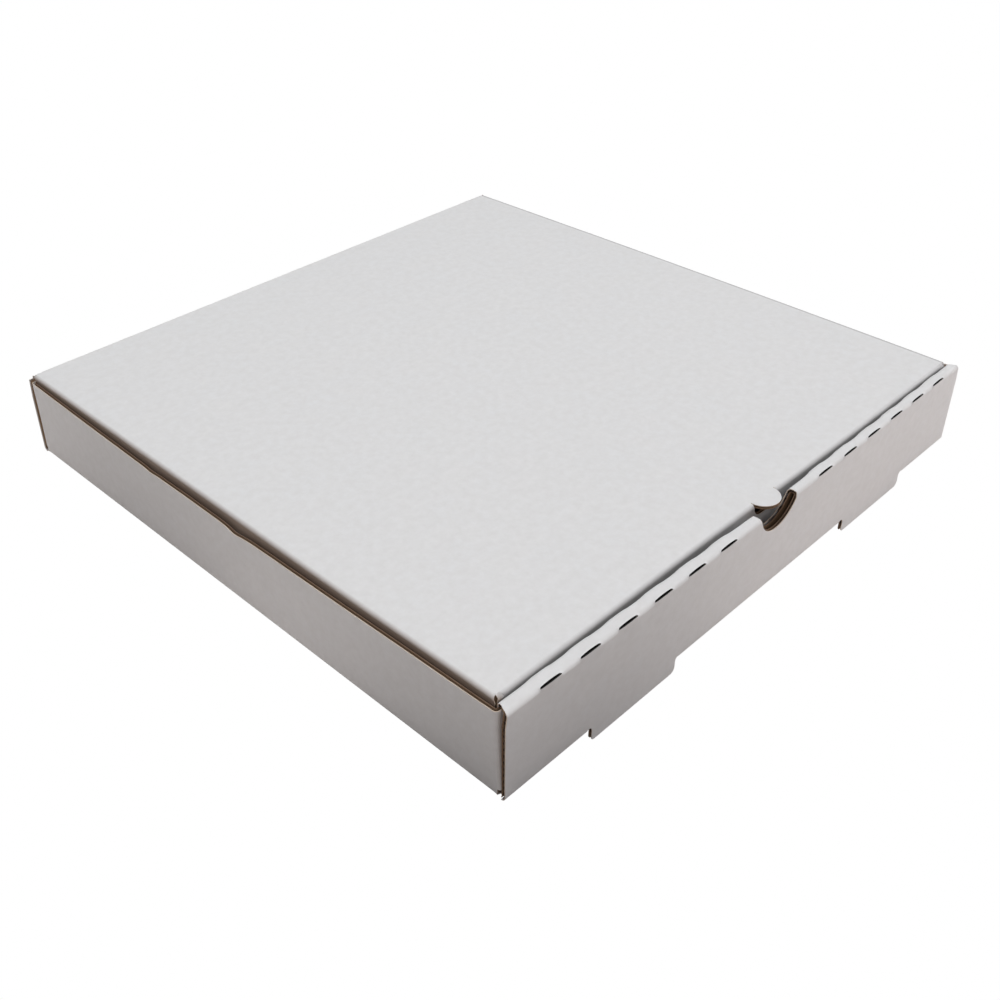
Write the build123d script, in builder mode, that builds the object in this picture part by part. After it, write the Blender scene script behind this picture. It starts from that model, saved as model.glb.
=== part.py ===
from build123d import *
from math import cos, radians, sin
import os

# Pizza box, closed, folded from one die-cut blank of white-lined, fine-fluted board.
# Millimetres, +Z up, front at -Y. The origin is under the middle of the box, level with its feet.

# Outside of the closed box, from the underside of its base to the top of its lid
width = 312
depth = 312
height = 42

# Board, and the outer radius that it takes at a crease
board = 1.6
crease_radius = 1.8

# Slack between panels that lie against each other, and the knife's width between cut edges
fold_slack = 0.25
knife_gap = 0.3

# Side walls: their raw top edge stays under the lid, and they belly out at mid-length
wall_drop = 3.7
wall_belly = 1.0

# Front wall: it leans out and rises towards its middle, where the hand pulls at it
front_belly = 2.1
front_rise = 1.5
band_inset = 3

# Corner flaps of the side walls, which lie inside the front and rear walls
corner_flap_length = 44
corner_flap_taper = 4

# Perforated crease along the top of the front wall
slit_length = 10.7
slit_opening = 0.8
slit_pitch = 20
slits_each_side = 6
first_slit = 34.3

# Thumb notch through the front wall, and the half-round tab of the lid above it
notch_radius = 12.5
notch_depth = 9
tab_radius = 7.5
tab_offset = 2

# Feet: two tongues of the front wall that stand out of slots in the base
foot_width = 53
foot_drop = 6.3
foot_place = 87.5
foot_corner = 2.5
lock_tab_slack = 0.6

# Lid: clearance inside the side walls, flaps, and the gap under the crease that it turns on
lid_clearance = 0.3
lid_setback = 8
side_flap_depth = 35
side_flap_taper = 7
side_flap_corner = 12
tuck_depth = 32
tuck_lean = 5
tuck_end_gap = 2.6
tuck_taper = 6
tuck_corner = 14
hinge_gap = 0.25

# Levels and lines that follow from the sizes above
base_level = foot_drop
top_level = base_level + height
wall_top = top_level - wall_drop
foot_of_wall = 2 * crease_radius
wall_foot = base_level + foot_of_wall
crease_middle = crease_radius - board / 2
crease_inside = crease_radius - board
half_width = width / 2
half_depth = depth / 2
band_width = 3 * board + 2 * fold_slack
flap_line = board + fold_slack
front_face = -half_depth
lid_half_width = half_width - board - lid_clearance
lid_front = front_face + lid_setback


def front_swell(x):
    """Share of the front wall's belly that shows at this place along its length."""
    return 1 - (x / half_width) ** 2


# Tray: base, side walls with corner flaps, rear wall, and the front wall that rolls over
with BuildPart() as tray:
    # Front wall: outer panel, narrow top band and inner panel, one strip folded over twice
    inner_foot = base_level + board + knife_gap
    for x in (-half_width, 0, half_width):
        belly = front_belly * front_swell(x)
        top = top_level + front_rise * front_swell(x)
        back = front_face + band_width
        with BuildSketch(Plane.YZ.offset(x)):
            with BuildLine():
                outside = FilletPolyline(
                    (front_face, wall_foot),
                    (front_face - belly, top),
                    (back - belly, top),
                    (back, inner_foot),
                    radius=crease_radius,
                )
                inside = FilletPolyline(
                    (front_face + board, wall_foot),
                    (front_face + board - belly, top - board),
                    (back - board - belly, top - board),
                    (back - board, inner_foot),
                    radius=crease_inside,
                )
                Line(outside @ 0, inside @ 0)
                Line(outside @ 1, inside @ 1)
            make_face()
    loft()

    # The strip narrows across the band, so that its inner panel fits between the side walls
    inset_start = front_face + crease_radius + fold_slack
    inset_end = front_face + band_width - crease_radius - fold_slack
    for across in (-1, 1):
        with BuildSketch(Plane.XY.offset(base_level)):
            with BuildLine():
                Polyline(
                    (across * half_width, inset_start),
                    (across * (half_width - band_inset), inset_end),
                    (across * (half_width - band_inset), front_face + 2 * band_width),
                    (across * half_width, front_face + 2 * band_width),
                    close=True,
                )
            make_face()
        extrude(amount=height + board, mode=Mode.SUBTRACT)

    # Perforation: each slit is cut through the outer top crease, and gapes where it is folded
    for side in (-1, 1):
        for number in range(slits_each_side):
            x = side * (first_slit + number * slit_pitch)
            crease_y = front_face - front_belly * front_swell(x)
            crease_z = top_level + front_rise * front_swell(x)
            with Locations(Location((x, crease_y, crease_z), (45, 0, 0))):
                Box(slit_length, slit_opening, 2 * board + crease_radius, mode=Mode.SUBTRACT)

    # Thumb notch through both panels and the band
    notch_level = top_level + front_rise - notch_depth + notch_radius
    with BuildSketch(Plane.XZ.offset(-front_face)):
        with Locations((0, notch_level)):
            Circle(notch_radius)
    extrude(amount=2 * band_width, both=True, mode=Mode.SUBTRACT)

    # Base panel between the creases
    with BuildSketch(Plane.XY.offset(base_level)):
        Rectangle(width - 2 * crease_radius, depth - 2 * crease_radius)
    extrude(amount=board)

    # Creases along the four edges of the base, and the foot of each wall.
    # Each plane lies across its wall, with its first axis pointing into the box.
    front_plane = Plane((0, -half_depth, base_level), x_dir=(0, 1, 0), z_dir=(1, 0, 0))
    rear_plane = Plane((0, half_depth, base_level), x_dir=(0, -1, 0), z_dir=(-1, 0, 0))
    left_plane = Plane((-half_width, 0, base_level), x_dir=(1, 0, 0), z_dir=(0, -1, 0))
    right_plane = Plane((half_width, 0, base_level), x_dir=(-1, 0, 0), z_dir=(0, 1, 0))
    side_half_run = half_depth - flap_line - crease_radius
    rear_wall_height = height - crease_radius - hinge_gap
    walls = [
        (front_plane, half_width, foot_of_wall),
        (rear_plane, half_width, rear_wall_height),
        (left_plane, side_half_run, foot_of_wall),
        (right_plane, side_half_run, foot_of_wall),
    ]
    for plane, half_run, rise in walls:
        with BuildSketch(plane):
            with BuildLine():
                CenterArc((crease_radius, crease_radius), crease_middle, 180, 90)
                Line((board / 2, crease_radius), (board / 2, rise))
            trace(line_width=board)
        extrude(amount=half_run, both=True)

    # Side walls above their foot, bellied out at mid-length
    for plane in (left_plane, right_plane):
        for along, belly in ((-side_half_run, 0), (0, wall_belly), (side_half_run, 0)):
            with BuildSketch(plane.offset(along)):
                with BuildLine():
                    Polyline(
                        (0, foot_of_wall),
                        (board, foot_of_wall),
                        (board - belly, height - wall_drop),
                        (-belly, height - wall_drop),
                        close=True,
                    )
                make_face()
        loft()

    # Upright creases at the corners, from the side walls into their corner flaps
    for across in (-1, 1):
        for along in (-1, 1):
            corner = Plane(
                (across * half_width, along * (half_depth - flap_line), wall_foot),
                x_dir=(-across, 0, 0),
                z_dir=(0, 0, across * along),
            )
            with BuildSketch(corner):
                with BuildLine():
                    CenterArc((crease_radius, crease_radius), crease_middle, 180, 90)
                trace(line_width=board)
            extrude(amount=across * along * (wall_top - wall_foot))

    # Rear corner flaps, upright inside the rear wall
    flap_start = half_width - crease_radius
    flap_end = half_width - corner_flap_length
    for across in (-1, 1):
        with BuildSketch(Plane.XZ.offset(flap_line - half_depth)):
            with BuildLine():
                Polyline(
                    (across * flap_start, wall_foot),
                    (across * flap_end, wall_foot + corner_flap_taper),
                    (across * flap_end, wall_top - corner_flap_taper),
                    (across * flap_start, wall_top),
                    close=True,
                )
            make_face()
        extrude(amount=board)

    # Front corner flaps, which lean with the front wall that wraps them
    for across in (-1, 1):
        for share in (0, 0.5, 1):
            x = flap_start + share * (flap_end - flap_start)
            low = wall_foot + share * corner_flap_taper
            high = wall_top - share * corner_flap_taper
            lean = front_belly * front_swell(x) / (top_level - wall_foot)
            low_y = front_face + flap_line - lean * (low - wall_foot)
            high_y = front_face + flap_line - lean * (high - wall_foot)
            with BuildSketch(Plane.YZ.offset(across * x)):
                with BuildLine():
                    Polyline(
                        (low_y, low),
                        (low_y + board, low),
                        (high_y + board, high),
                        (high_y, high),
                        close=True,
                    )
                make_face()
        loft()

    # Feet: the front crease and the base are cut round each tongue, which stays in the wall's plane
    slot_depth = foot_drop + board
    for across in (-1, 1):
        with BuildSketch(Plane.XY.offset(base_level)):
            with Locations((across * foot_place, front_face + slot_depth / 2)):
                Rectangle(foot_width, slot_depth)
        extrude(amount=foot_of_wall, mode=Mode.SUBTRACT)
        with BuildSketch(Plane.XZ.offset(-front_face)) as foot:
            with Locations((across * foot_place, wall_foot / 2)):
                Rectangle(foot_width, wall_foot)
            fillet(foot.vertices().group_by(Axis.Z)[0], radius=foot_corner)
        extrude(amount=-board)

        # The lock tab of the inner panel drops into the slot that the tongue leaves
        with BuildSketch(Plane.XZ.offset(board - front_face - band_width)):
            with Locations((across * foot_place, (inner_foot + base_level + foot_of_wall) / 2)):
                Rectangle(foot_width - 2 * lock_tab_slack, foot_of_wall + inner_foot - base_level)
        extrude(amount=-board)

tray.part.label = "tray"

# Lid: top panel, side flaps and tuck flap that slip inside the tray, and the crease that it turns on
with BuildPart() as lid:
    # Top panel between the creases
    panel_half_width = lid_half_width - crease_radius
    panel_rear = half_depth - crease_radius
    with BuildSketch(Plane.XY.offset(top_level)):
        with Locations((0, (lid_front + panel_rear) / 2)):
            Rectangle(2 * panel_half_width, panel_rear - lid_front)
    extrude(amount=-board)

    # Rear crease, which bends down to meet the rear wall
    rear_top = Plane((0, half_depth, top_level), x_dir=(0, -1, 0), z_dir=(-1, 0, 0))
    with BuildSketch(rear_top):
        with BuildLine():
            CenterArc((crease_radius, -crease_radius), crease_middle, 90, 90)
        trace(line_width=board)
    extrude(amount=lid_half_width, both=True)

    # Side creases and side flaps, tapered at both ends to slip in
    crease_front = lid_front + knife_gap
    crease_rear = panel_rear - knife_gap
    for across in (-1, 1):
        side_end = Plane(
            (across * lid_half_width, crease_front, top_level),
            x_dir=(-across, 0, 0),
            z_dir=(0, across, 0),
        )
        with BuildSketch(side_end):
            with BuildLine():
                CenterArc((crease_radius, -crease_radius), crease_middle, 90, 90)
            trace(line_width=board)
        extrude(amount=across * (crease_rear - crease_front))
        with BuildSketch(Plane.YZ.offset(across * lid_half_width)) as flap:
            flap_top = top_level - crease_radius
            flap_foot = top_level - side_flap_depth
            with BuildLine():
                Polyline(
                    (crease_front, flap_top),
                    (crease_front + side_flap_taper, flap_foot),
                    (crease_rear - side_flap_taper, flap_foot),
                    (crease_rear, flap_top),
                    close=True,
                )
            make_face()
            fillet(flap.vertices().group_by(Axis.Z)[0], radius=side_flap_corner)
        extrude(amount=-across * board)

    # Front crease, folded a little past square, and open where the tab was cut out of it
    tuck_half_width = lid_half_width - tuck_end_gap
    front_top = Plane((0, lid_front, top_level), x_dir=(0, -1, 0), z_dir=(-1, 0, 0))
    with BuildSketch(front_top):
        with BuildLine():
            CenterArc((0, -crease_radius), crease_middle, 90, -90 - tuck_lean)
        trace(line_width=board)
    extrude(amount=tuck_half_width, both=True)
    with BuildSketch(Plane.XY.offset(top_level)):
        with Locations((tab_offset, lid_front - crease_radius)):
            Rectangle(2 * (tab_radius + knife_gap), 2 * crease_radius)
    extrude(amount=-2 * crease_radius, mode=Mode.SUBTRACT)

    # Tuck flap, leaning into the box, with the half-round hole that the tab leaves
    lean = radians(tuck_lean)
    tuck_top_y = lid_front - crease_radius * cos(lean)
    tuck_top_z = top_level - crease_radius * (1 + sin(lean))
    tuck_face = Plane((0, tuck_top_y, tuck_top_z), x_dir=(1, 0, 0), z_dir=(0, -cos(lean), -sin(lean)))
    crease_length = crease_middle * (radians(90) + lean)
    with BuildSketch(tuck_face):
        with BuildLine():
            Polyline(
                (-tuck_half_width, 0),
                (tuck_half_width, 0),
                (tuck_half_width - tuck_taper, -tuck_depth),
                (tuck_taper - tuck_half_width, -tuck_depth),
                close=True,
            )
        outline = make_face()
        fillet(outline.vertices().group_by(Axis.Y)[0], radius=tuck_corner)
        with Locations((tab_offset, crease_length)):
            Circle(tab_radius, mode=Mode.SUBTRACT)
    extrude(amount=-board)

    # Thumb tab, level with the top panel
    with BuildSketch(Plane.XY.offset(top_level)):
        with Locations((tab_offset, lid_front)):
            Circle(tab_radius)
    extrude(amount=-board)

lid.part.label = "lid"

os.makedirs("parts", exist_ok=True)
export_step(tray.part, "parts/tray.step")
export_step(lid.part, "parts/lid.step")
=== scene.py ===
import math
import bmesh
import bpy
import numpy as np
from mathutils import Matrix, Vector
from mathutils.geometry import delaunay_2d_cdt


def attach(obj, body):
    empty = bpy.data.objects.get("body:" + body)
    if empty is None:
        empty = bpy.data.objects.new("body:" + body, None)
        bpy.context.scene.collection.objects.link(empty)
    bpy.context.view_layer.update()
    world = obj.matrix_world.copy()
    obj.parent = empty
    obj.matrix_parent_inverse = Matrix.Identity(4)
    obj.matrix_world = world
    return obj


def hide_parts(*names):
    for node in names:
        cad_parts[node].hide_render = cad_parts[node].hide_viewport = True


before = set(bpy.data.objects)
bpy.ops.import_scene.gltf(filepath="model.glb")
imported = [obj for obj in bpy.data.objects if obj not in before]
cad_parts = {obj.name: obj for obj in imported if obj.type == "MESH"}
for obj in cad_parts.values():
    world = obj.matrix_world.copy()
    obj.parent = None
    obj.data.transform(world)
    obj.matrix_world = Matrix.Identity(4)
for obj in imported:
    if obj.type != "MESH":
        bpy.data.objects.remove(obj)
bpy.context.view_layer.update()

# The blank, tray end. The real box is one sheet of white-lined fine-fluted board, die cut flat and
# then folded. The sheet is drawn flat here, cut into triangles, and bent at its creases.
# Sizes are millimetres in this file until a mesh is written, which is in metres.
MILLIMETRE = 0.001
width = 312.0
height = 42.0
board = 1.6
liner = 0.32
crease_radius = 1.8
fold_slack = 0.25
wall_drop = 3.7
hinge_gap = 0.25
inner_clearance = 0.3
corner_flap = 42.2
band_inset = 2.6

# How far the front wall bows out and rises in its middle, and the side walls lean out in theirs
front_bow = 2.1
front_crown = 1.5
side_bow = 1.2

# The cuts of the perforated crease, the thumb notch and the two feet
slit_pitch = 20.0
slit_length = 10.7
first_slit = 34.3
slit_places = [side * (first_slit + n * slit_pitch) for side in (-1, 1) for n in range(6)]
notch_radius = 12.9
notch_depth = 9.6
notch_place = 0.3
foot_drop = 6.3
foot_short = 0.6
foot_half = 25.0
foot_places = (-84.8, 88.8)
foot_flare = 2.0
tongue_length = crease_radius + foot_drop - foot_short
knife = 0.3

# At a slit the board stands on unbent. The front lip ends this far short of the corner and the upper
# lip this far, and in the middle of the slit, where it gapes most, a little further still.
front_lip_short, front_lip_gape = 0.05, 0.2
upper_lip_short, upper_lip_gape = 0.5, 0.25

half = width / 2
top_level = foot_drop + height
wall_foot = foot_drop + 2 * crease_radius
crease_run = (crease_radius - board / 2) * math.pi / 2
band_width = 3 * board + 2 * fold_slack
quarter_turn = -math.pi / 2

base_half = half - crease_radius
panel_height = height - 2 * crease_radius
band_flat = band_width - 2 * crease_radius
inner_height = height - crease_radius - board - inner_clearance
side_height = height - wall_drop - crease_radius
rear_height = panel_height - hinge_gap
side_run = half - board - fold_slack - crease_radius

# Lines across the flat front strip, counted outwards from the base's crease
panel_line = crease_run
crease_line = panel_line + panel_height
band_line = crease_line + crease_run
lip_line = band_line + band_flat
inner_line = lip_line + crease_run
inner_end = inner_line + inner_height
crease_middle = -base_half - (crease_line + band_line) / 2
front_steps = [
    (crease_run, quarter_turn),
    (panel_height, 0.0),
    (crease_run, quarter_turn),
    (band_flat, 0.0),
    (crease_run, quarter_turn),
    (inner_height, 0.0),
]


def along(lengths, steps, start, heading):
    """Places and outward directions at the given lengths along a path of straight and bent steps."""
    lengths = np.asarray(lengths, float)
    places = np.zeros((len(lengths), 2))
    normals = np.zeros((len(lengths), 2))
    here = np.array(start, float)
    angle = heading
    done = 0.0
    for number, (run, turn) in enumerate(steps):
        chosen = lengths >= done if number else np.ones(len(lengths), bool)
        if number < len(steps) - 1:
            chosen &= lengths < done + run
        part = lengths[chosen] - done
        if turn == 0:
            ahead = np.array([math.cos(angle), math.sin(angle)])
            places[chosen] = here + part[:, None] * ahead
            normals[chosen] = (-math.sin(angle), math.cos(angle))
            here = here + run * ahead
        else:
            radius = run / turn
            centre = here + radius * np.array([-math.sin(angle), math.cos(angle)])
            angles = angle + turn * part / run
            outward = np.stack([-np.sin(angles), np.cos(angles)], axis=1)
            places[chosen] = centre - radius * outward
            normals[chosen] = outward
            angle += turn
            here = centre - radius * np.array([-math.sin(angle), math.cos(angle)])
        done += run
    return places, normals


def smooth(edge0, edge1, value):
    """0 before the first edge and 1 after the second, with a soft change between them."""
    share = np.clip((value - edge0) / (edge1 - edge0), 0, 1)
    return share * share * (3 - 2 * share)


def front_middle(x):
    """1 in the middle of the front wall, 0 at its ends."""
    return np.clip(1 - (x / half) ** 2, 0, 1)


def near_slit(x, blur):
    """1 over a slit, 0 on the board between slits, with the change spread over this much to each side."""
    away = np.min([np.abs(x - place) for place in slit_places], axis=0)
    return smooth(slit_length / 2 + blur, slit_length / 2 - blur, away)


def slit_gape(x):
    """How far a slit gapes at this place: 1 in its middle, 0 at its ends."""
    away = np.min([np.abs(x - place) for place in slit_places], axis=0)
    return np.clip(1 - (away / (slit_length / 2)) ** 2, 0, 1)


def band_growth(x):
    """How much wider the band is than three boards: more to the left and at each slit, less at the notch."""
    to_the_left = 1.35 * smooth(70, -150, x)
    at_slits = 0.45 * near_slit(x, 2.5)
    at_notch = 0.4 * smooth(34, 20, np.abs(x))
    return to_the_left + at_slits - at_notch - 0.1


def wall_growth(x, y):
    """How uneven the side walls' raw top edges are. The left one has a small dent near its middle."""
    left_places = (-160, -110, -70, -35, -20, -14, -10, -5, 0, 25, 45, 50, 56, 75, 110, 145)
    left_rises = (1.45, 1.4, 0.9, 0.45, 0.1, -0.5, -1.3, -0.1, 0.3, 0.4, 0.1, -0.4, 0.2, 0.4, 0.7, 1.1)
    right_rise = 0.6 + 1.3 * smooth(-143, -151, y)
    return np.where(x < 0, np.interp(y, left_places, left_rises), right_rise)


def corner_pull(x, y, up, beyond):
    """The left wall's corner creases stand back from the raw ends of the front and rear walls."""
    reach = smooth(-9, -2, beyond) * smooth(14, 4, beyond)
    front_pull = 2.5 * np.sqrt(np.clip(up, 0, 1))
    rear_pull = -0.6 * np.clip(2 * up, 0, 1)
    return np.where(x < 0, np.where(y < 0, front_pull, rear_pull) * reach, 0)


def in_tongue(x, y):
    """Points of the two tongues that stay in the front wall's plane when the base folds away."""
    inside = np.zeros(len(x), bool)
    start = -base_half - crease_run
    for place in foot_places:
        turn = np.clip(1 - (1 - (y - start) / foot_flare) ** 2, 0, 1)
        flare = foot_flare * (1 - np.sqrt(turn)) * (y < start + foot_flare)
        reach = foot_half + flare + knife / 2
        in_length = (y > start + 1e-6) & (y < start + tongue_length + knife / 2)
        inside |= (np.abs(x - place) < reach) & in_length
    return inside


def fold_front(x, y, rise):
    """The front strip: up to the perforated crease, back over the band and down inside the box."""
    run = -base_half - y
    place, outward = along(run, front_steps, (crease_radius, board / 2), math.pi)
    place = place + rise[:, None] * outward

    # At each slit the crease isn't bent: the board stands on past it from below and from behind
    gape = slit_gape(x)
    front_lip = crease_radius - front_lip_short - front_lip_gape * gape
    upper_lip = crease_radius - upper_lip_short - upper_lip_gape * gape
    in_crease = (run > crease_line - 1e-6) & (run < band_line + 1e-6)
    in_lower = in_crease & (run < (crease_line + band_line) / 2)
    in_upper = in_crease & ~in_lower
    climb = (run - crease_line) / (crease_run / 2) * front_lip
    back = (band_line - run) / (crease_run / 2) * upper_lip
    unbent_lower = np.stack([board / 2 - rise, height - crease_radius + climb], axis=1)
    unbent_upper = np.stack([crease_radius - back, height - board / 2 + rise], axis=1)
    share = near_slit(x, 0.8)
    for chosen, unbent in ((in_lower, unbent_lower), (in_upper, unbent_upper)):
        weight = (share * chosen)[:, None]
        place = place * (1 - weight) + unbent * weight

    inward, up = place.T
    lean = np.clip((up + foot_drop - wall_foot) / (top_level - wall_foot), 0, 1.05)
    across_band = np.clip(inward / band_width, 0, 1.1)
    bow = front_bow * front_middle(x) * lean
    growth = band_growth(x) * lean * across_band
    crown = front_crown * front_middle(x) * lean
    return np.stack([x, -half + inward - bow + growth, foot_drop + up + crown], axis=1)


def fold_side(x, y, rise):
    """A side wall, and past its ends the corner flaps that turn in behind the front and rear walls."""
    steps = [(crease_run, quarter_turn), (side_height, 0.0)]
    place, outward = along(np.abs(x) - base_half, steps, (crease_radius, board / 2), math.pi)
    beyond = np.abs(y) - side_run
    steps = [(crease_run, quarter_turn), (corner_flap, 0.0)]
    turned, facing = along(np.maximum(beyond, 0), steps, (board / 2, 0), math.pi / 2)
    turned = turned + rise[:, None] * facing
    in_flap = beyond > 0
    inward = np.where(in_flap, turned[:, 0], place[:, 0] + rise * outward[:, 0])
    along_wall = np.where(in_flap, side_run + turned[:, 1], np.abs(y))
    z = foot_drop + place[:, 1] + np.where(in_flap, 0, rise * outward[:, 1])

    up = np.clip((z - wall_foot) / (top_level - wall_drop - wall_foot), 0, 1.05)
    bow = side_bow * np.clip(1 - (y / side_run) ** 2, 0, 1) * up
    new_x = np.sign(x) * (half - inward + bow)
    flap_up = np.clip((z - wall_foot) / (top_level - wall_foot), 0, 1)
    flap_lean = front_bow * front_middle(new_x) * flap_up
    new_y = np.sign(y) * along_wall - flap_lean * (in_flap & (y < 0))
    new_y += corner_pull(x, y, up, beyond)
    return np.stack([new_x, new_y, z + np.clip(up, 0, 1) * wall_growth(x, y)], axis=1)


def fold_tray(x, y, rise):
    """Bend the flat tray end of the blank. rise is the height above the sheet's middle, outwards."""
    out = np.stack([x, y, foot_drop + board / 2 - rise], axis=1)
    tongue = in_tongue(x, y)
    in_width = np.abs(x) < half + 0.01
    front = (y < -base_half) & ~tongue & in_width
    rear = (y > base_half) & in_width
    at_base = (np.abs(np.abs(y) - base_half) < 0.001) & in_width
    side = (np.abs(x) > base_half) & ~front & ~rear & ~tongue & ~at_base
    out[front] = fold_front(x[front], y[front], rise[front])
    out[side] = fold_side(x[side], y[side], rise[side])

    out[tongue, 1] = -half + board / 2 - rise[tongue]
    out[tongue, 2] = foot_drop + crease_radius - (y[tongue] + base_half + crease_run)

    steps = [(crease_run, quarter_turn), (side_height, 0.0)]
    place, outward = along(y[rear] - base_half, steps, (crease_radius, board / 2), math.pi)
    place = place + rise[rear, None] * outward
    out[rear, 1] = half - place[:, 0]
    out[rear, 2] = foot_drop + place[:, 1]
    return out


def rounded(corners):
    """An outline with some corners rounded. Each corner is (x, y, radius)."""
    points = []
    count = len(corners)
    for i, (x, y, radius) in enumerate(corners):
        if radius == 0:
            points.append((x, y))
            continue
        here = np.array([x, y])
        before = np.array(corners[i - 1][:2]) - here
        after = np.array(corners[(i + 1) % count][:2]) - here
        before /= np.linalg.norm(before)
        after /= np.linalg.norm(after)
        opening = math.acos(np.clip(before @ after, -1, 1))
        reach = radius / math.tan(opening / 2)
        centre = here + (before + after) / np.linalg.norm(before + after) * radius / math.sin(opening / 2)
        start = here + before * reach - centre
        end = here + after * reach - centre
        sweep = math.atan2(start[0] * end[1] - start[1] * end[0], start @ end)
        for step in range(7):
            turn = sweep * step / 6
            turned = (
                start[0] * math.cos(turn) - start[1] * math.sin(turn),
                start[0] * math.sin(turn) + start[1] * math.cos(turn),
            )
            points.append((centre[0] + turned[0], centre[1] + turned[1]))
    return points


border_step = 2.6
shortest_edge = 0.08


def divided(loop, columns=(), rows=()):
    """The loop with long edges divided, also where they cross a crease's lines, so that they can bend."""
    points = []
    for (x0, y0), (x1, y1) in zip(loop, loop[1:] + loop[:1]):
        length = math.hypot(x1 - x0, y1 - y0)
        count = max(1, math.ceil(length / border_step))
        shares = [(x - x0) / (x1 - x0) for x in columns if abs(x1 - x0) > 0.01]
        shares += [(y - y0) / (y1 - y0) for y in rows if abs(y1 - y0) > 0.01]
        kept = [0.0]
        shares += [k / count for k in range(1, count)]
        for share in sorted(share for share in shares if 0 < share < 1):
            if min(share - kept[-1], 1 - share) * length > shortest_edge:
                kept.append(share)
        points += [(x0 + (x1 - x0) * share, y0 + (y1 - y0) * share) for share in kept]
    return points


def inside_loops(points, loops):
    """Even-odd test of many points against all the loops of a sheet."""
    inside = np.zeros(len(points), bool)
    x, y = points[:, 0], points[:, 1]
    for loop in loops:
        ring = np.array(loop)
        for (x0, y0), (x1, y1) in zip(ring, np.roll(ring, -1, axis=0)):
            if y0 == y1:
                continue
            crosses = (y0 > y) != (y1 > y)
            at = x0 + (y - y0) * (x1 - x0) / (y1 - y0)
            inside ^= crosses & (x < at)
    return inside


def cut_sheet(loops, grid):
    """Triangles of a flat sheet with the given outline and holes, through the given grid points."""
    points = []
    edges = []
    for loop in loops:
        first = len(points)
        points += loop
        edges += [(first + i, first + (i + 1) % len(loop)) for i in range(len(loop))]
    border = np.array(points)
    grid = grid[inside_loops(grid, loops)]
    clear = np.ones(len(grid), bool)
    for start, end in edges:
        run = border[end] - border[start]
        from_start = grid - border[start]
        share = np.clip((from_start @ run) / max(run @ run, 1e-9), 0, 1)
        gap = np.hypot(*(from_start - share[:, None] * run).T)
        clear &= gap > 0.12
    points += [tuple(point) for point in grid[clear]]
    found = delaunay_2d_cdt([Vector(point) for point in points], edges, [], 0, 1e-5)
    flat = np.array([tuple(place) for place in found[0]])
    triangles = np.array(found[2])
    middles = flat[triangles].mean(axis=1)
    triangles = triangles[inside_loops(middles, loops)]
    used = np.unique(triangles)
    renumber = np.full(len(flat), -1)
    renumber[used] = np.arange(len(used))
    return flat[used], renumber[triangles]


def layer(name, sheet, fold, low, high, beyond_crease=None):
    """One closed layer of the board, between two heights above the middle of the sheet, folded.

    Its face attribute is 1 on cut edges, which take the cut edge's colour, and 2 on the edges of the slits
    and on the faces behind them, which are painted near-black as painted shadow in the slit gaps.
    """
    flat, triangles = sheet
    count = len(flat)
    x, y = flat[:, 0], flat[:, 1]
    upper = fold(x, y, np.full(count, high))
    under = fold(x, y, np.full(count, low))
    sides = np.concatenate([triangles[:, [0, 1]], triangles[:, [1, 2]], triangles[:, [2, 0]]])
    _, first, uses = np.unique(np.sort(sides, axis=1), axis=0, return_index=True, return_counts=True)
    rim = sides[first[uses == 1]]
    faces = triangles.tolist()
    faces += (triangles[:, ::-1] + count).tolist()
    faces += [(end, start, start + count, end + count) for start, end in rim.tolist()]
    mesh = bpy.data.meshes.new(name)
    mesh.from_pydata((np.concatenate([upper, under]) * MILLIMETRE).tolist(), [], faces)
    piece = finished(name, mesh)
    cut = mesh.attributes.new("cut_edge_and_slit_shadow", "FLOAT", "FACE")
    # Slit edges and the faces behind the slits get value 2: painted shadow, near-black, in the slit gaps
    slit_shadow_rim = (np.abs(y - crease_middle) < 0.1) & (near_slit(x, 0.01) > 0)
    values = np.zeros(len(faces))
    values[2 * len(triangles):] = 1 + slit_shadow_rim[rim].all(axis=1)
    middles = flat[triangles].mean(axis=1)
    painted_slit_shadow = (near_slit(middles[:, 0], 0.3) > 0) & (np.abs(middles[:, 1] - crease_middle) < 1.2)
    values[len(triangles):2 * len(triangles)] = 2 * painted_slit_shadow
    if high < 0:
        values[:len(triangles)] = 2 * painted_slit_shadow
    cut.data.foreach_set("value", values)
    if beyond_crease:
        crease = mesh.attributes.new("beyond_crease", "FLOAT", "POINT")
        crease.data.foreach_set("value", np.tile(beyond_crease(x, y), 2))
    return piece


def finished(name, mesh):
    """An object of the mesh, with its faces outwards, smooth over the creases and sharp at the cut edges."""
    work = bmesh.new()
    work.from_mesh(mesh)
    bmesh.ops.recalc_face_normals(work, faces=work.faces)
    work.to_mesh(mesh)
    work.free()
    mesh.shade_smooth()
    mesh.set_sharp_from_angle(angle=math.radians(38))
    piece = bpy.data.objects.new(name, mesh)
    bpy.context.scene.collection.objects.link(piece)
    return piece


def lattice(xs, ys):
    """All the points of a grid with these columns and rows."""
    across, along_sheet = np.meshgrid(xs, ys)
    return np.stack([across.ravel(), along_sheet.ravel()], axis=1)


def spread(start, end, step):
    """Even places from start to end, about this step apart."""
    return np.linspace(start, end, max(2, round(abs(end - start) / step) + 1))


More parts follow.
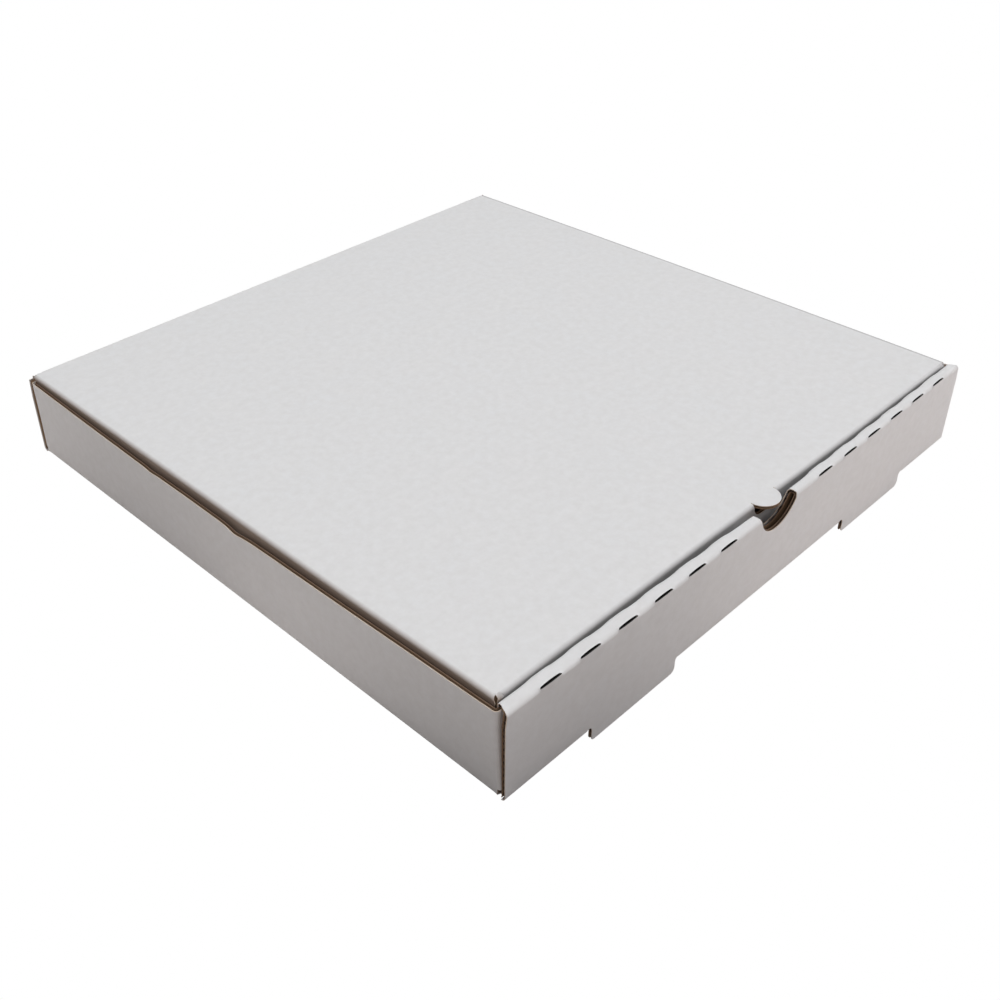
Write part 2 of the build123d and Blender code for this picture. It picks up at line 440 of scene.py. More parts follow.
# Outline of the flat tray end, anticlockwise, and the holes cut in it
crease_in_flat = -base_half - crease_run
front_end = -base_half - inner_end
tab_end = front_end - 1.7
lock_half = foot_half - 0.6
inner_half = half - band_inset
trimmed_half = half - 0.75
past_crease = 0.6
flap_tip = side_run + crease_run + corner_flap
wall_start = base_half + crease_run + crease_radius
wall_edge = base_half + crease_run + side_height
right_half = [
    (lock_half + foot_places[1], front_end, 0),
    (inner_half, front_end, 3),
    (inner_half, -base_half - lip_line - past_crease, 0),
    (trimmed_half, -base_half - crease_line - past_crease, 0),
    (half, -base_half - crease_line + 5, 0),
    (half, -base_half, 0),
    (base_half, -base_half, 0),
    (base_half, -side_run, 0),
    (base_half + crease_run, -side_run, 0),
    (wall_start, -side_run, 0),
    (wall_start + 4, -flap_tip, 3),
    (wall_edge - 4, -flap_tip, 3),
    (wall_edge, -side_run - crease_run, 0),
]
right_rear = [
    (wall_edge, side_run + crease_run, 0),
    (wall_edge - 4, flap_tip, 3),
    (wall_start + 4, flap_tip, 3),
    (wall_start, side_run, 0),
    (base_half + crease_run, side_run, 0),
    (base_half, side_run, 0),
    (base_half, base_half, 0),
    (half, base_half, 0),
    (half - 0.1, base_half + crease_run + rear_height - 9, 0),
    (half - 0.5, base_half + crease_run + rear_height, 0),
]
mirrored = [(-x, y, radius) for x, y, radius in reversed(right_half + right_rear)]
lock_tabs = []
for place in foot_places:
    lock_tabs += [
        (place - lock_half, front_end, 0),
        (place - lock_half, tab_end, 0),
        (place + lock_half, tab_end, 0),
        (place + lock_half, front_end, 0),
    ]
# The last corner of the last tab is the first of the right half
tray_outline = rounded(mirrored + lock_tabs[:-1] + right_half + right_rear)

slit_holes = []
slit_middle = [-slit_length / 2 + 0.7, -slit_length / 4, 0, slit_length / 4, slit_length / 2 - 0.7]
half_cut = 0.03
for place in slit_places:
    start = (place - slit_length / 2, crease_middle)
    end = (place + slit_length / 2, crease_middle)
    lower = [(place + dx, crease_middle - half_cut) for dx in slit_middle]
    upper = [(place + dx, crease_middle + half_cut) for dx in reversed(slit_middle)]
    slit_holes.append([start] + lower + [end] + upper)

# The thumb notch is cut through both panels and the band between them
notch_rise = notch_radius - notch_depth
outer_rim = -base_half - crease_line - crease_run / 2
inner_rim = -base_half - lip_line - crease_run / 2
swing = math.acos(notch_rise / notch_radius)
notch_half = notch_radius * math.sin(swing)
lower_arc = [
    (notch_place + notch_radius * math.sin(turn), outer_rim + notch_radius * math.cos(turn) - notch_rise)
    for turn in np.linspace(swing, -swing, 25)
]
upper_arc = [(x, outer_rim + inner_rim - y) for x, y in reversed(lower_arc)]
band_middle = (outer_rim + inner_rim) / 2
bulge = [(0.0, 0.45), (1.3, 0.3), (2.3, 0.15)]
band_end = [(notch_half + out_by, dy) for dy, out_by in bulge[:0:-1] + [bulge[0]]]
right_end = [(notch_place + dx, band_middle - dy) for dx, dy in band_end]
right_end += [(notch_place + dx, band_middle + dy) for dx, dy in band_end[-2::-1]]
left_end = [(2 * notch_place - x, y) for x, y in reversed(right_end)]
notch_hole = lower_arc + left_end + upper_arc + right_end

# A knife line round each foot leaves a tongue that stands when the base is folded
tongue_end = crease_in_flat + tongue_length
root = [
    (foot_flare * (1 - math.sin(turn)), foot_flare * (1 - math.cos(turn)))
    for turn in np.linspace(0, math.pi / 2, 6)
]
foot_cuts = []
for place in foot_places:
    slot_half = foot_half + knife
    root_left = [(place - foot_half - dx, crease_in_flat + dy) for dx, dy in root]
    root_right = [(place + foot_half + dx, crease_in_flat + dy) for dx, dy in reversed(root)]
    tongue = rounded([
        (place - foot_half, crease_in_flat + foot_flare, 0),
        (place - foot_half, tongue_end, 1.6),
        (place + foot_half, tongue_end, 2.5),
        (place + foot_half, crease_in_flat + foot_flare, 0),
    ])[1:-1]
    slot = [
        (place + slot_half + foot_flare, crease_in_flat),
        (place + slot_half, crease_in_flat + foot_flare),
        (place + slot_half, tongue_end + knife),
        (place - slot_half, tongue_end + knife),
        (place - slot_half, crease_in_flat + foot_flare),
        (place - slot_half - foot_flare, crease_in_flat),
    ]
    foot_cuts.append(root_left + tongue + root_right + slot)

crease_rows = np.linspace(0, crease_run, 6)
bends = np.concatenate([
    base_half + crease_rows,
    side_run + crease_rows,
    base_half + band_line - crease_rows,
    base_half + inner_line - crease_rows,
])
bends = np.concatenate([-bends, bends])
tray_loops = [divided(tray_outline, bends, bends)] + slit_holes + [notch_hole]
tray_loops += [divided(cut) for cut in foot_cuts]
front_rows = np.concatenate([
    -base_half - crease_rows,
    -base_half - spread(panel_line, crease_line, 6)[1:-1],
    -base_half - np.linspace(crease_line, band_line, 11),
    -base_half - np.linspace(band_line, lip_line, 4)[1:-1],
    -base_half - np.linspace(lip_line, inner_line, 7),
    -base_half - spread(inner_line, inner_end, 8)[1:],
])
slit_half = slit_length / 2
slit_columns = np.concatenate([
    [place - slit_half - 0.6, place - slit_half - 0.2, place + slit_half + 0.2, place + slit_half + 0.6]
    for place in slit_places
])
front_columns = np.concatenate([np.arange(-155, 155.1, 2.5), slit_columns])
base_places = spread(6 - base_half, base_half - 6, 9)
wall_xs = np.concatenate([base_half + crease_rows, spread(base_half + crease_run, wall_edge, 6)[1:]])
corner_ys = np.concatenate([side_run + crease_rows, side_run + crease_run + np.arange(3, corner_flap, 6)])
near_corner = side_run - np.array([8.0, 6.0, 4.5, 3.0, 1.5])
wall_middle = spread(9 - side_run, side_run - 9, 7)
wall_ys = np.concatenate([-corner_ys[::-1], -near_corner[::-1], wall_middle, near_corner, corner_ys])
rear_rows = np.concatenate([base_half + crease_rows, base_half + crease_run + np.arange(5, rear_height, 6)])
tray_grid = np.concatenate([
    lattice(front_columns, front_rows),
    lattice(base_places, base_places),
    lattice(np.concatenate([-wall_xs[::-1], wall_xs]), wall_ys),
    lattice(spread(-half, half, 8), rear_rows),
])
tray_sheet = cut_sheet(tray_loops, tray_grid)


class Sum:
    """A number in a material's tree, so that sums on it can be written as they are read."""

    def __init__(self, tree, socket):
        self.tree = tree
        self.socket = socket

    def joined(self, operation, first, second):
        return self.tree.add("ShaderNodeMath", {"operation": operation}, {0: first, 1: second})

    def __add__(self, other):
        return self.joined("ADD", self, other)

    def __radd__(self, other):
        return self.joined("ADD", other, self)

    def __sub__(self, other):
        return self.joined("SUBTRACT", self, other)

    def __rsub__(self, other):
        return self.joined("SUBTRACT", other, self)

    def __mul__(self, other):
        return self.joined("MULTIPLY", self, other)

    def __rmul__(self, other):
        return self.joined("MULTIPLY", other, self)


class Finish:
    """The nodes of a material, or of the room round the box, with one way to add any node."""

    def __init__(self, owner):
        owner.use_nodes = True
        self.nodes = owner.node_tree.nodes
        self.links = owner.node_tree.links

    def fill(self, node, sockets):
        """Give each socket its value, or a link where the value comes from another node."""
        for key, value in sockets.items():
            if isinstance(value, Sum):
                self.links.new(value.socket, node.inputs[key])
            else:
                node.inputs[key].default_value = value

    def add(self, kind, settings, sockets, output=0):
        """A new node with these settings and sockets. Gives the number or colour that it puts out."""
        node = self.nodes.new(kind)
        for key, value in settings.items():
            setattr(node, key, value)
        self.fill(node, sockets)
        return Sum(self, node.outputs[output])


class Paper(Finish):
    """A material for one face of the board."""

    def __init__(self, name):
        self.material = bpy.data.materials.new(name)
        super().__init__(self.material)
        self.shader = self.nodes["Principled BSDF"]

    def noise(self, place, size, detail=3.0, roughness=0.55):
        """Cloudy noise between 0 and 1, with patches of about this size in millimetres."""
        patches = 1 / (size * MILLIMETRE)
        sockets = {"Vector": place, "Scale": patches, "Detail": detail, "Roughness": roughness}
        return self.add("ShaderNodeTexNoise", {"normalize": True}, sockets)

    def ramp(self, value, start, end):
        """0 at the start value and 1 at the end value, with a soft change between them."""
        sockets = {"Value": value, "From Min": start, "From Max": end}
        return self.add("ShaderNodeMapRange", {"interpolation_type": "SMOOTHSTEP"}, sockets)

    def mix(self, factor, first, second):
        """Two colours mixed. The node has its colour sockets at 6 and 7, and the mixed colour at 2."""
        return self.add("ShaderNodeMix", {"data_type": "RGBA"}, {0: factor, 6: first, 7: second}, 2)

    def bump(self, strength, rise):
        """A surface that feels slightly rough: at most 0.06 mm high."""
        sockets = {"Strength": strength, "Distance": 0.00006, "Height": rise}
        return self.add("ShaderNodeBump", {}, sockets)

    def edged(self, face, edge):
        """The colour of the face, with another colour on cut edges and a painted shadow, near-black, in the
        slits.
        """
        cut = self.add("ShaderNodeAttribute", {"attribute_name": "cut_edge_and_slit_shadow"}, {}, "Fac")
        clean_cut = self.mix(cut.joined("MINIMUM", cut, 1.0), face, edge)
        # Painted shadow: where the attribute is 2, at the slits, the colour goes near-black
        slit = cut.joined("MAXIMUM", cut - 1.0, 0.0)
        return self.mix(slit, clean_cut, (0.008, 0.006, 0.005, 1))


white_cut_edge = (0.64, 0.52, 0.42, 1)
# Raw kraft at a cut edge, darkened with painted shade of the hollows between the flutes
shaded_brown_cut_edge = (0.19, 0.12, 0.082, 1)


def white_lining(name):
    """Bleached outer liner: white paper, faintly clouded by the brown board behind it."""
    paper = Paper(name)
    place = paper.add("ShaderNodeTexCoord", {}, {}, "Object")
    cloud = paper.noise(place, 4.0, 4.0, 0.62)
    patch = paper.add("ShaderNodeMapRange", {}, {"Value": cloud, "From Min": 0.32, "From Max": 0.68})
    warmth = paper.noise(place, 14.0, 2.0)
    clean = paper.mix(warmth, (0.775, 0.764, 0.762, 1), (0.757, 0.762, 0.775, 1))
    shade = paper.mix(patch, clean, (0.725, 0.718, 0.718, 1))
    fibre = paper.noise(place, 0.45, 3.0, 0.7)
    paper.fill(paper.shader, {
        "Base Color": paper.edged(shade, white_cut_edge),
        "Roughness": 0.52 + fibre * 0.16,
        "Normal": paper.bump(0.25, fibre + cloud * 1.5),
        "Specular IOR Level": 0.35,
    })
    return paper, shade


def brown_kraft(name, light, dark):
    """Unbleached paper, with darker fibres along the machine's direction, and cut edges darkened with painted
    shade of the flute hollows behind them.
    """
    paper = Paper(name)
    place = paper.add("ShaderNodeTexCoord", {}, {}, "Object")
    stretched = paper.add("ShaderNodeMapping", {}, {"Vector": place, "Scale": (0.25, 1, 1)})
    cloud = paper.noise(place, 6.0, 4.0, 0.6)
    fibre = paper.noise(stretched, 0.5, 3.0, 0.7)
    face = paper.mix(0.55 * cloud + 0.45 * fibre, light, dark)
    paper.fill(paper.shader, {
        "Base Color": paper.edged(face, shaded_brown_cut_edge),
        "Roughness": 0.7 + fibre * 0.15,
        "Normal": paper.bump(0.3, fibre),
        "Specular IOR Level": 0.25,
    })
    return paper.material


white_paper = white_lining("white_outer_liner")[0].material
kraft_paper = brown_kraft("kraft_inner_liner", (0.36, 0.245, 0.155, 1), (0.22, 0.14, 0.085, 1))
# The fluting's kraft brown is darkened far below its own colour: painted shade of the hollows between the
# waves
shaded_kraft_fluting = brown_kraft("kraft_fluting", (0.075, 0.048, 0.034, 1), (0.042, 0.027, 0.019, 1))


def part_of(piece, body, paper):
    """Finish a piece: its paper and the body that it moves with, whose imported part is hidden."""
    piece.data.materials.clear()
    piece.data.materials.append(paper)
    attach(piece, body)
    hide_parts(body)


tray_outer = layer("tray_outer_liner", tray_sheet, fold_tray, board / 2 - liner, board / 2)
tray_inner = layer("tray_inner_liner", tray_sheet, fold_tray, -board / 2, liner - board / 2)
part_of(tray_outer, "tray", white_paper)
part_of(tray_inner, "tray", kraft_paper)


# Fluting of the tray. Between the two liners runs a third paper, pressed into waves 3.1 mm apart that
# lie across the box. It shows wherever the board was cut across the waves, so it is made there.
def fluting_tree():
    """Node tree for a straight strip of waved paper, along X from 0, with its depth along Y."""
    tree = bpy.data.node_groups.new("waved_strip", "GeometryNodeTree")
    tree.interface.new_socket("Geometry", in_out="INPUT", socket_type="NodeSocketGeometry")
    for name in ("Length", "Depth", "Pitch", "Wave Height", "Paper"):
        tree.interface.new_socket(name, in_out="INPUT", socket_type="NodeSocketFloat")
    tree.interface.new_socket("Finish", in_out="INPUT", socket_type="NodeSocketMaterial")
    tree.interface.new_socket("Geometry", in_out="OUTPUT", socket_type="NodeSocketGeometry")
    given = tree.nodes.new("NodeGroupInput").outputs

    def step(kind, settings, sockets):
        node = tree.nodes.new(kind)
        for key, value in settings.items():
            setattr(node, key, value)
        for key, value in sockets.items():
            if isinstance(value, bpy.types.NodeSocket):
                tree.links.new(value, node.inputs[key])
            else:
                node.inputs[key].default_value = value
        return node.outputs[0]

    def sum_of(operation, first, second):
        return step("ShaderNodeMath", {"operation": operation}, {0: first, 1: second})

    end = step("ShaderNodeCombineXYZ", {}, {"X": given["Length"]})
    line = step("GeometryNodeCurvePrimitiveLine", {"mode": "POINTS"}, {"End": end})
    per_wave = sum_of("DIVIDE", given["Length"], given["Pitch"])
    count = sum_of("CEIL", sum_of("MULTIPLY", per_wave, 8.0), 0.0)
    points = step("GeometryNodeResampleCurve", {"mode": "COUNT"}, {"Curve": line, "Count": count})
    along_x = step("ShaderNodeSeparateXYZ", {}, {0: step("GeometryNodeInputPosition", {}, {})})
    turn = sum_of("MULTIPLY", sum_of("DIVIDE", along_x, given["Pitch"]), 2 * math.pi)
    height = sum_of("MULTIPLY", sum_of("SINE", turn, 0.0), given["Wave Height"])
    lift = step("ShaderNodeCombineXYZ", {}, {"Z": height})
    wave = step("GeometryNodeSetPosition", {}, {"Geometry": points, "Offset": lift})
    upright = step("GeometryNodeSetCurveNormal", {"mode": "Z_UP"}, {"Curve": wave})
    section = step(
        "GeometryNodeCurvePrimitiveQuadrilateral", {}, {"Width": given["Depth"], "Height": given["Paper"]}
    )
    strip = step(
        "GeometryNodeCurveToMesh", {}, {"Curve": upright, "Profile Curve": section, "Fill Caps": True}
    )
    real = step("GeometryNodeRealizeInstances", {}, {"Geometry": strip})
    done = step("GeometryNodeSetMaterial", {}, {"Geometry": real, "Material": given["Finish"]})
    tree.links.new(done, tree.nodes.new("NodeGroupOutput").inputs["Geometry"])
    return tree


waved_strip = fluting_tree()
flute_pitch = 3.1
flute_height = board / 2 - liner - 0.1
flute_paper = 0.28


def waved_paper(length, depth):
    """Vertices and faces of one flat strip of fluting, in millimetres, with X from 0 and Y from 0."""
    holder = bpy.data.objects.new("strip", bpy.data.meshes.new("strip"))
    bpy.context.scene.collection.objects.link(holder)
    modifier = holder.modifiers.new("waves", "NODES")
    modifier.node_group = waved_strip
    values = {
        "Length": length,
        "Depth": depth,
        "Pitch": flute_pitch,
        "Wave Height": flute_height,
        "Paper": flute_paper,
        "Finish": shaded_kraft_fluting,
    }
    for item in waved_strip.interface.items_tree:
        if item.in_out == "INPUT" and item.name in values:
            modifier[item.identifier] = values[item.name]
    bpy.context.view_layer.update()
    graph = bpy.context.evaluated_depsgraph_get()
    mesh = bpy.data.meshes.new_from_object(holder.evaluated_get(graph))
    places = np.array([vertex.co for vertex in mesh.vertices]) + (0, depth / 2, 0)
    faces = [tuple(face.vertices) for face in mesh.polygons]
    bpy.data.objects.remove(holder)
    bpy.data.meshes.remove(mesh)
    return places, faces


def fluting(name, strips, fold):
    """One piece of fluting from strips. A strip is (y from, y to, x of its cut edge, x of its inner side)."""
    places = np.zeros((0, 3))
    faces = []
    for start, end, cut, inner in strips:
        strip, strip_faces = waved_paper(abs(end - start), 1.0)
        y = start + np.sign(end - start) * strip[:, 0]
        edge = cut(y) if callable(cut) else np.full(len(y), cut)
        x = edge + (inner - edge) * strip[:, 1]
        faces += [tuple(i + len(places) for i in face) for face in strip_faces]
        places = np.concatenate([places, fold(x, y, strip[:, 2])])
    mesh = bpy.data.meshes.new(name)
    mesh.from_pydata((places * MILLIMETRE).tolist(), [], faces)
    return finished(name, mesh)


def front_strip_end(y):
    """Half width of the front strip at each place along it, set a little back from the liners' edges."""
    rows = [inner_end, lip_line + past_crease, crease_line + past_crease, crease_line - 5, 0]
    halves = [inner_half, inner_half, trimmed_half, half, half]
    return np.interp(y, [-base_half - row for row in rows], halves) - 0.4


def notch_rim(y):
    """Half width of the notch at each place along the front strip."""
    drop = notch_rise + np.maximum(np.maximum(y - outer_rim, inner_rim - y), 0)
    return np.sqrt(np.clip(notch_radius ** 2 - drop ** 2, 0, None)) + 0.3


tray_strips = []
rear_end = base_half + crease_run + rear_height
for side in (-1, 1):
    tray_strips += [
        (
            -base_half - 0.5,
            front_end + 0.3,
            lambda y, side=side: side * front_strip_end(y),
            side * (half - 9),
        ),
        (0.5 - side_run, side_run - 0.5, side * (wall_edge - 1.8), side * (wall_edge - 7)),
        (base_half + 0.5, rear_end - 0.3, side * (half - 0.9), side * (half - 7)),
    ]
    tray_strips.append((
        outer_rim + notch_depth - 0.1,
        inner_rim - notch_depth + 0.1,
        lambda y, side=side: notch_place + side * notch_rim(y),
        side * (notch_radius + 6),
    ))
    for place in foot_places:
        cut, inner = place + side * (foot_half - 0.3), place + side * (foot_half - 7)
        tray_strips.append((tongue_end - 2.6, crease_in_flat + 1.5, cut, inner))
tray_fluting = fluting("tray_fluting", tray_strips, fold_tray)
part_of(tray_fluting, "tray", shaded_kraft_fluting)


# The blank, lid end: top panel, side flaps and tuck flap with the half-round tab cut out of its crease.
# It hangs on the tray's rear wall by the rear crease, and all its flaps slip inside the tray.
lid_half = 154.25
lid_clearance = 0.3
side_radius = 1.35
front_radius = 1.5
lid_front = -148.3
tuck_lean = math.radians(5)
hinge_half = half - board - lid_clearance
tuck_half = hinge_half - 2.6
cut_slope = 0.22
tuck_depth = 32.0
side_flap = 33.4
tab_radius = 7.6
tab_place = 3.9
tab_root = lid_front + 0.5
lid_panel_half = lid_half - side_radius
side_mid_radius = side_radius - board / 2
front_mid_radius = front_radius - board / 2
side_crease_run = side_mid_radius * math.pi / 2
front_crease_run = front_mid_radius * (math.pi / 2 + tuck_lean)


def crushed(rise, mid_radius, bent):
    """Inside a tight crease the board is crushed, so its inner faces stay outside the crease's centre."""
    smallest_radius = 0.05
    return np.where(bent, np.maximum(rise, smallest_radius - mid_radius), rise)


def lid_shift(x):
    """How far back the lid's front edge lies: 1.2 mm at its left, and 0.3 mm forwards at its right."""
    return 1.2 - 1.5 * smooth(-60, 80, x)


def lid_push(x, y, z):
    """The lid is pushed to the right, into the bow of the right wall, and stands off the left wall."""
    along_wall = np.clip(1 - (y / side_run) ** 2, 0, 1)
    up = np.clip((z - wall_foot) / (top_level - wall_drop - wall_foot), 0, 1)
    right_press = 1.1 * along_wall * up * smooth(60, lid_panel_half, x)
    left_gap = (0.6 + 0.7 * smooth(-60, -150, y)) * smooth(-60, -lid_panel_half, x)
    return right_press + left_gap


def in_tab(x, y):
    """Points of the half-round thumb tab, which stays level where the tuck flap turns down."""
    return (np.hypot(x - tab_place, y - tab_root) < tab_radius + knife / 2) & (y < tab_root)


def fold_lid(x, y, rise):
    """Bend the flat lid end of the blank. rise is the height above the sheet's middle, outwards."""
    middle = top_level - board / 2
    out = np.stack([x, y, middle + rise], axis=1)
    tab = in_tab(x, y)

    # The tuck flap
    beside = np.abs(x) - lid_panel_half
    front = (y < lid_front) & (beside < (lid_front - y) * cut_slope) & ~tab
    run = lid_front - y[front]
    steps = [(front_crease_run, quarter_turn - tuck_lean), (tuck_depth, 0.0)]
    place, outward = along(run, steps, (0, 0), 0.0)
    place = place + crushed(rise[front], front_mid_radius, run < front_crease_run)[:, None] * outward
    out[front, 1] = lid_front - place[:, 0]
    out[front, 2] = middle + place[:, 1]

    # The rear crease
    rear = y > base_half
    place, outward = along(y[rear] - base_half, [(crease_run, quarter_turn)], (0, 0), 0.0)
    place = place + rise[rear, None] * outward
    out[rear, 1] = base_half + place[:, 0]
    out[rear, 2] = middle + place[:, 1]

    # The side flaps
    side = (beside > 0) & ~front & (y < base_half)
    run = beside[side]
    steps = [(side_crease_run, quarter_turn), (side_flap, 0.0)]
    place, outward = along(run, steps, (0, 0), 0.0)
    place = place + crushed(rise[side], side_mid_radius, run < side_crease_run)[:, None] * outward
    out[side, 0] = np.sign(x[side]) * (lid_panel_half + place[:, 0])
    out[side, 2] = middle + place[:, 1]

    # The lid lies a little askew, and its front edge sags slightly in its middle
    out[:, 1] += lid_shift(x) * smooth(60, -148, y)
    out[:, 2] -= 0.45 * np.clip(1 - (x / 120) ** 2, 0, 1) * smooth(-144.5, -149, y)
    out[:, 0] += lid_push(out[:, 0], out[:, 1], out[:, 2])
    return out


flap_end = lid_panel_half + side_crease_run + side_flap
lid_crease_front = lid_front - 1.1
lid_crease_rear = base_half - knife
tuck_end = lid_front - front_crease_run - tuck_depth
lid_right = [
    (tuck_half - 6, tuck_end, 14),
    (tuck_half, lid_front - front_crease_run - 3, 0),
    (lid_panel_half + cut_slope * (front_crease_run + 0.8) - 0.1, lid_front - front_crease_run - 0.8, 0),
    (lid_panel_half, lid_front, 0),
    (lid_panel_half + side_crease_run * 0.9, lid_front - 0.5, 0),
    (lid_panel_half + side_crease_run + 1.5, lid_crease_front, 0),
    (flap_end, lid_crease_front + 7, 12),
    (flap_end, lid_crease_rear - 7, 12),
    (lid_panel_half + side_crease_run, lid_crease_rear, 0),
    (lid_panel_half, lid_crease_rear, 0),
    (lid_panel_half, base_half, 0),
    (hinge_half, base_half, 0),
    (hinge_half, base_half + crease_run, 0),
]
lid_outline = rounded([(-x, y, radius) for x, y, radius in reversed(lid_right)] + lid_right)


def tab_rim(radius):
    """A half circle round the root of the thumb tab."""
    turns = np.linspace(math.pi, 2 * math.pi, 33)
    return [(tab_place + radius * math.cos(turn), tab_root + radius * math.sin(turn)) for turn in turns]


tab_cut = tab_rim(tab_radius) + tab_rim(tab_radius + knife)[::-1]
lid_bends = lid_panel_half + np.linspace(0, side_crease_run, 7)
front_crease_rows = lid_front - np.linspace(0, front_crease_run, 8)
lid_bend_rows = np.concatenate([front_crease_rows, base_half + crease_rows])
lid_loops = [divided(lid_outline, np.concatenate([-lid_bends, lid_bends]), lid_bend_rows), tab_cut]
lid_xs = np.concatenate([lid_bends, spread(lid_panel_half + side_crease_run, flap_end, 8)[1:]])
lid_ys = spread(lid_front + 8, base_half, 6)
lid_rows = np.concatenate([
    lid_front + np.array([6.0, 4.0, 2.6, 1.6, 0.8]),
    front_crease_rows,
    lid_front - front_crease_run - np.arange(4, tuck_depth, 6),
])
lid_edge_xs = lid_panel_half - np.array([3.0, 1.8, 0.9])
before_hinge = base_half - np.array([4.5, 2.4, 1.0])
hinge_rows = np.concatenate([before_hinge, base_half + crease_rows[:-1]])
side_rows = np.concatenate([lid_rows[:6], lid_ys, before_hinge])
hinge_columns = np.linspace(-hinge_half, hinge_half, math.ceil(2 * hinge_half / border_step) + 1)[1:-1]
lid_grid = np.concatenate([
    lattice(spread(-lid_panel_half + 6, lid_panel_half - 6, 6), lid_ys[:-1]),
    lattice(np.arange(-150, 150.1, 2.5), lid_rows),
    lattice(np.concatenate([-lid_xs[::-1], -lid_edge_xs, lid_edge_xs, lid_xs]), side_rows),
    lattice(hinge_columns, hinge_rows),
])
lid_sheet = cut_sheet(lid_loops, lid_grid)


def beyond_lid_crease(x, y):
    """Distance outwards past the nearest of the creases of the flaps, negative on the panel."""
    # On the right the painted crease shade starts 0.9 mm sooner, a thin painted shadow along that edge
    right_shade_lead = 0.9
    beside = np.abs(x) - lid_panel_half + np.where(x > 0, right_shade_lead, 0)
    return np.where(in_tab(x, y), -9.0, np.maximum(beside, lid_front - y))


def lid_lining():
    """The same white paper, with painted shade along the creases of the side flaps and the tuck flap: grey,
    browner on the left side as from light off the kraft, fading out further down the flaps.
    """
    paper, shade = white_lining("white_lid_liner")
    beyond = paper.add("ShaderNodeAttribute", {"attribute_name": "beyond_crease"}, {}, "Fac")
    into = paper.ramp(beyond, -0.4, 1.5)
    past = paper.ramp(beyond, 5.0, 10.0)
    place = paper.add("ShaderNodeTexCoord", {}, {}, "Object")
    across = paper.add("ShaderNodeSeparateXYZ", {}, {"Vector": place}, "X")
    at_left = paper.add("ShaderNodeMapRange", {}, {"Value": across, "From Min": -0.149, "From Max": -0.151})
    # Painted shade for the creases: neutral grey, and browner along the left side
    painted_crease_shade = paper.mix(at_left, (0.40, 0.395, 0.40, 1), (0.33, 0.26, 0.215, 1))
    crease_shaded = paper.mix(into * (1 - past), shade, painted_crease_shade)
    paper.fill(paper.shader, {"Base Color": paper.edged(crease_shaded, white_cut_edge)})
    return paper.material


lid_outer = layer("lid_outer_liner", lid_sheet, fold_lid, board / 2 - liner, board / 2, beyond_lid_crease)
lid_inner = layer("lid_inner_liner", lid_sheet, fold_lid, -board / 2, liner - board / 2)
part_of(lid_outer, "lid", lid_lining())
part_of(lid_inner, "lid", kraft_paper)


# Fluting of the lid: the same waved paper between the liners. It shows at the lower edges of the side
# flaps and at the ends of the tuck flap, which were cut across the waves.
lid_strips = []
tuck_root = lid_front - front_crease_run
for side in (-1, 1):
    lid_strips += [
        (lid_crease_front + 20, lid_crease_rear - 20, side * (flap_end - 0.1), side * (flap_end - 6)),
        (tuck_root - 3, tuck_root - 16, side * (tuck_half - 2), side * (tuck_half - 8)),
    ]
lid_fluting = fluting("lid_fluting", lid_strips, fold_lid)
part_of(lid_fluting, "lid", shaded_kraft_fluting)


# The stage: a plain pale floor that touches the feet and the lower rear edge, as the box stands on it,
# soft lights from above and from both sides, and the camera. The floor is white to the camera and has
# two darker patches that only the light meets, one before the near corner and one beside the left wall.
floor_slope = math.atan2(foot_drop, 2 * half)
floor_mesh = bpy.data.meshes.new("floor")
far = 6.0
below_feet = 0.0002
floor_corners = [
    (x, y, (y + half * MILLIMETRE) * math.tan(floor_slope) - below_feet)
    for x, y in ((-far, -far), (far, -far), (far, far), (-far, far))
]
floor_mesh.from_pydata(floor_corners, [], [(0, 1, 2, 3)])
floor = bpy.data.objects.new("floor", floor_mesh)
bpy.context.scene.collection.objects.link(floor)
floor_paper = Paper("pale_floor")
spot = floor_paper.add("ShaderNodeTexCoord", {}, {}, "Object")


def dark_patch(centre, inner, outer):
    """0 inside a round patch of the floor and 1 outside it."""
    sockets = {0: spot, 1: centre}
    away = floor_paper.add("ShaderNodeVectorMath", {"operation": "DISTANCE"}, sockets, "Value")
    return floor_paper.ramp(away, inner, outer)


near_shade = dark_patch((-0.165, -0.195, 0), 0.03, 0.185)
left_shade = dark_patch((-0.22, 0.065, 0), 0.02, 0.13)
shade = near_shade * (0.5 + 0.5 * left_shade)
floor_paper.fill(floor_paper.shader, {
    "Base Color": floor_paper.mix(shade, (0.07, 0.06, 0.055, 1), (0.86, 0.80, 0.77, 1)),
    "Roughness": 0.9,
})
lit = Sum(floor_paper, floor_paper.shader.outputs[0])
glow = floor_paper.add("ShaderNodeEmission", {}, {})
seen = floor_paper.add("ShaderNodeLightPath", {}, {}, "Is Camera Ray")
blend = floor_paper.add("ShaderNodeMixShader", {}, {0: seen, 1: lit, 2: glow})
floor_paper.fill(floor_paper.nodes["Material Output"], {"Surface": blend})
floor_mesh.materials.append(floor_paper.material)

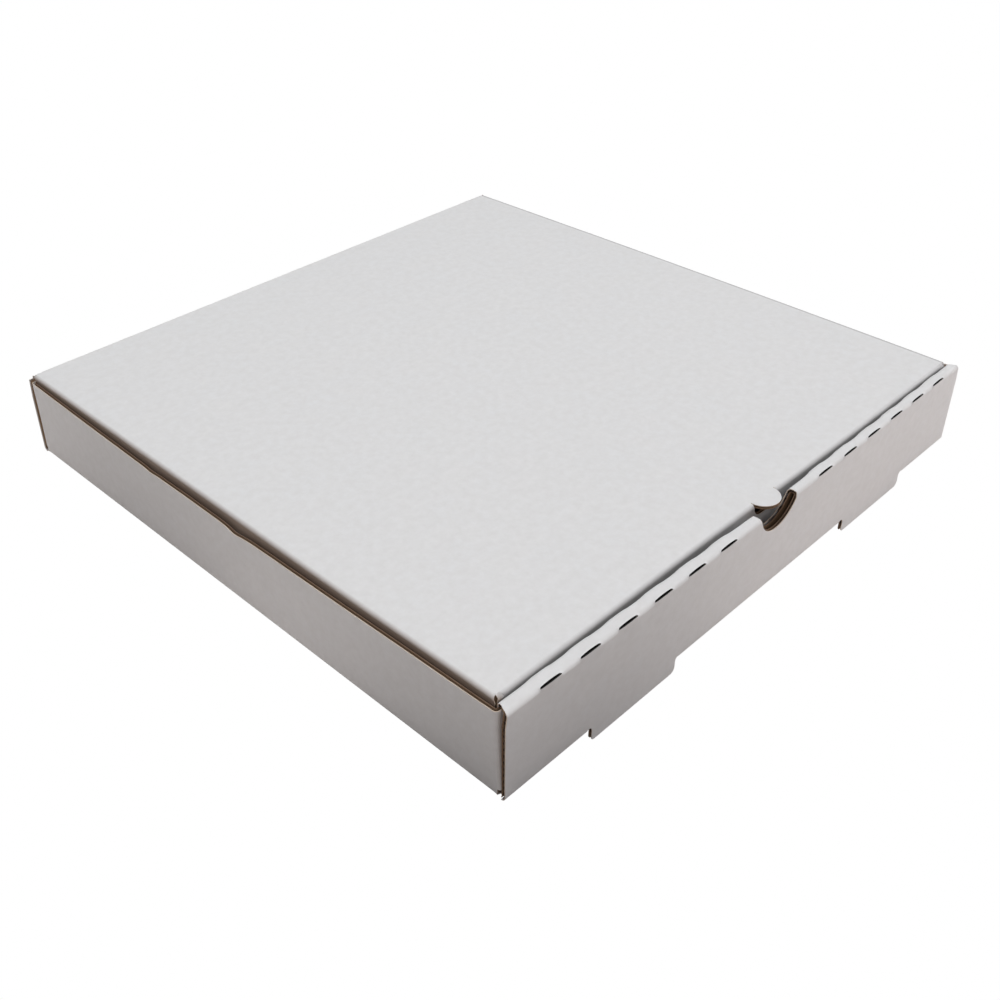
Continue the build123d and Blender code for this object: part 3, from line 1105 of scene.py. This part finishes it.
world = bpy.data.worlds.new("studio")
bpy.context.scene.world = world
room = Finish(world)
room.fill(room.nodes["Background"], {"Color": (1, 1, 1, 1), "Strength": 0.24})
dim_room = Sum(room, room.nodes["Background"].outputs[0])
white_wall = room.add("ShaderNodeBackground", {}, {"Color": (1, 1, 1, 1)})
seen = room.add("ShaderNodeLightPath", {}, {}, "Is Camera Ray")
seen_wall = room.add("ShaderNodeMixShader", {}, {0: seen, 1: dim_room, 2: white_wall})
room.fill(room.nodes["World Output"], {"Surface": seen_wall})
bpy.context.scene.view_settings.view_transform = "Standard"


def soft_light(name, place, aim, size, power, color):
    """A square lamp at a place, turned towards what it lights."""
    lamp = bpy.data.lights.new(name, "AREA")
    lamp.color = color
    lamp.shape = "RECTANGLE"
    lamp.size, lamp.size_y = size
    lamp.energy = power
    light = bpy.data.objects.new(name, lamp)
    light.location = place
    light.rotation_euler = (Vector(aim) - Vector(place)).to_track_quat("-Z", "Y").to_euler()
    bpy.context.scene.collection.objects.link(light)


soft_light("overhead_softbox", (0.0, 0.2, 1.5), (0, 0, 0), (1.4, 1.4), 16.35, (0.97, 0.99, 1.0))
soft_light("right_panel", (0.75, -0.35, 0.3), (0.12, -0.156, 0.02), (0.5, 0.5), 0.53, (1.0, 0.97, 0.97))
soft_light("right_softbox", (1.5, -0.9, 0.5), (0.1, -0.15, 0), (0.8, 0.8), 7.95, (1.0, 0.97, 0.98))
soft_light("front_softbox", (-0.9, -0.9, 0.8), (0, 0, 0), (0.8, 0.8), 2.45, (1.0, 0.88, 0.84))

# The camera's lens, place and turn were fitted to the outline, the cuts and the notch of the photo
camera = bpy.data.objects.new("camera", bpy.data.cameras.new("camera"))
bpy.context.scene.collection.objects.link(camera)
bpy.context.scene.camera = camera
camera.data.lens = 43.248
camera.data.shift_x = 0.0467
camera.data.shift_y = -0.0407
camera.data.clip_start = 0.01
azimuth, elevation, roll = (math.radians(angle) for angle in (-44.107, 34.314, -1.139))
back = Vector((
    math.sin(azimuth) * math.cos(elevation), -math.cos(azimuth) * math.cos(elevation), math.sin(elevation)
))
level = Vector((math.cos(azimuth), math.sin(azimuth), 0))
upward = back.cross(level)
right = math.cos(roll) * level + math.sin(roll) * upward
top = -math.sin(roll) * level + math.cos(roll) * upward
placed = Matrix((right, top, back)).transposed().to_4x4()
placed.translation = Vector((-0.3566, -0.3410, 0.3345))
camera.matrix_world = placed
